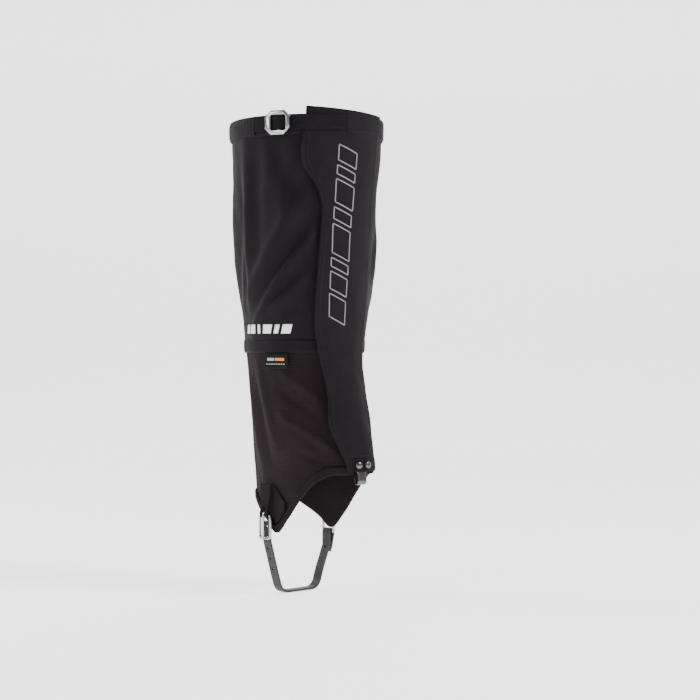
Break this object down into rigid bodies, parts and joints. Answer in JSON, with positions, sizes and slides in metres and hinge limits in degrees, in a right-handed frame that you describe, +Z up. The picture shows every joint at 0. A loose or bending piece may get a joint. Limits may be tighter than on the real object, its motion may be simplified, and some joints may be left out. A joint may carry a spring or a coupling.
{
  "type": "knee-high gaiter",
  "caption": "Knee-high mountaineering gaiter, right leg: hook-and-loop front flap, calf strap with a steel ring, lace hook and instep strap with a prong buckle.",
  "frame": {"origin": "middle of the instep strap's top face, where the arch of the boot presses on it", "axes": "+Z up the leg, -Y towards the toe, -X towards the wearer's outer side"},
  "size_m": [0.1634, 0.1807, 0.5105],
  "materials": {
    "upper_fabric": "plain weave, soft",
    "lower_fabric": "fine ribbed weave, hard wearing",
    "trim_fabric": "plain weave",
    "closure_tape": "hook and loop pile",
    "webbing": "woven webbing",
    "label_cloth": "woven label with a printed bar",
    "strap_rubber": "matt, moulded",
    "ring_steel": "bevelled, polished",
    "buckle_steel": "polished wire",
    "hook_steel": "nickel plated"
  },
  "bodies": {
    "shell": {"upper_outer_panel": "upper_fabric", "upper_inner_panel": "upper_fabric", "lower_outer_panel": "lower_fabric", "lower_inner_panel": "lower_fabric", "waist_band_outer": "trim_fabric", "waist_band_inner": "trim_fabric", "top_hem_outer": "trim_fabric", "top_hem_inner": "trim_fabric", "hem_facing_outer": "trim_fabric", "hem_facing_inner": "trim_fabric", "back_seam_tape": "trim_fabric", "flap_seam_binding": "trim_fabric", "loop_tape": "closure_tape", "calf_tab": "webbing", "strap_channel": "trim_fabric", "instep_tab_outer": "webbing", "instep_tab_inner": "webbing", "side_patch_outer": "trim_fabric", "side_patch_inner": "trim_fabric"},
    "flap": {"front_flap": "upper_fabric", "flap_hook_patch": "trim_fabric", "flap_top_hem": "trim_fabric", "hook_tape": "closure_tape", "lace_hook": "hook_steel", "lace_rivet_1": "hook_steel", "lace_rivet_2": "hook_steel", "lace_rivet_cap_1": "hook_steel", "lace_rivet_cap_2": "hook_steel"},
    "calf_strap_end": {"calf_strap": "webbing", "calf_ring": "ring_steel"},
    "instep_buckle": {"instep_buckle_frame": "buckle_steel"},
    "prong": {"instep_prong": "buckle_steel"},
    "sole_strap": {"instep_strap": "strap_rubber", "instep_loop_inner": "buckle_steel", "instep_rivet": "hook_steel"},
    "label": {"side_label": "label_cloth"}
  },
  "joints": [
    {"name": "flap_open", "type": "hinge", "parent": "shell", "child": "flap", "pos_m": [0.01347, -0.1009, 0.131], "axis": [0.025, 0.0038, 0.9997], "range_deg": [0, 110]},
    {"name": "calf_strap_swing", "type": "hinge", "parent": "flap", "child": "calf_strap_end", "pos_m": [-0.0283, -0.0994, 0.4915], "axis": [0, 0, 1], "range_deg": [0, 90]},
    {"name": "instep_buckle_tip", "type": "hinge", "parent": "shell", "child": "instep_buckle", "pos_m": [-0.04828, 0, 0.082], "axis": [0, 1, 0], "range_deg": [0, 60]},
    {"name": "prong_lift", "type": "hinge", "parent": "instep_buckle", "child": "prong", "pos_m": [-0.04828, 0, 0.082], "axis": [0, 1, 0], "range_deg": [0, 75]},
    {"name": "sole_strap_drop", "type": "hinge", "parent": "shell", "child": "sole_strap", "pos_m": [0.04828, 0, 0.082], "axis": [0, -1, 0], "range_deg": [0, 80]},
    {"name": "label_lift", "type": "hinge", "parent": "shell", "child": "label", "pos_m": [-0.05899, -0.02704, 0.2535], "axis": [-0.2099, 0.9777, 0], "range_deg": [0, 80]}
  ]
}
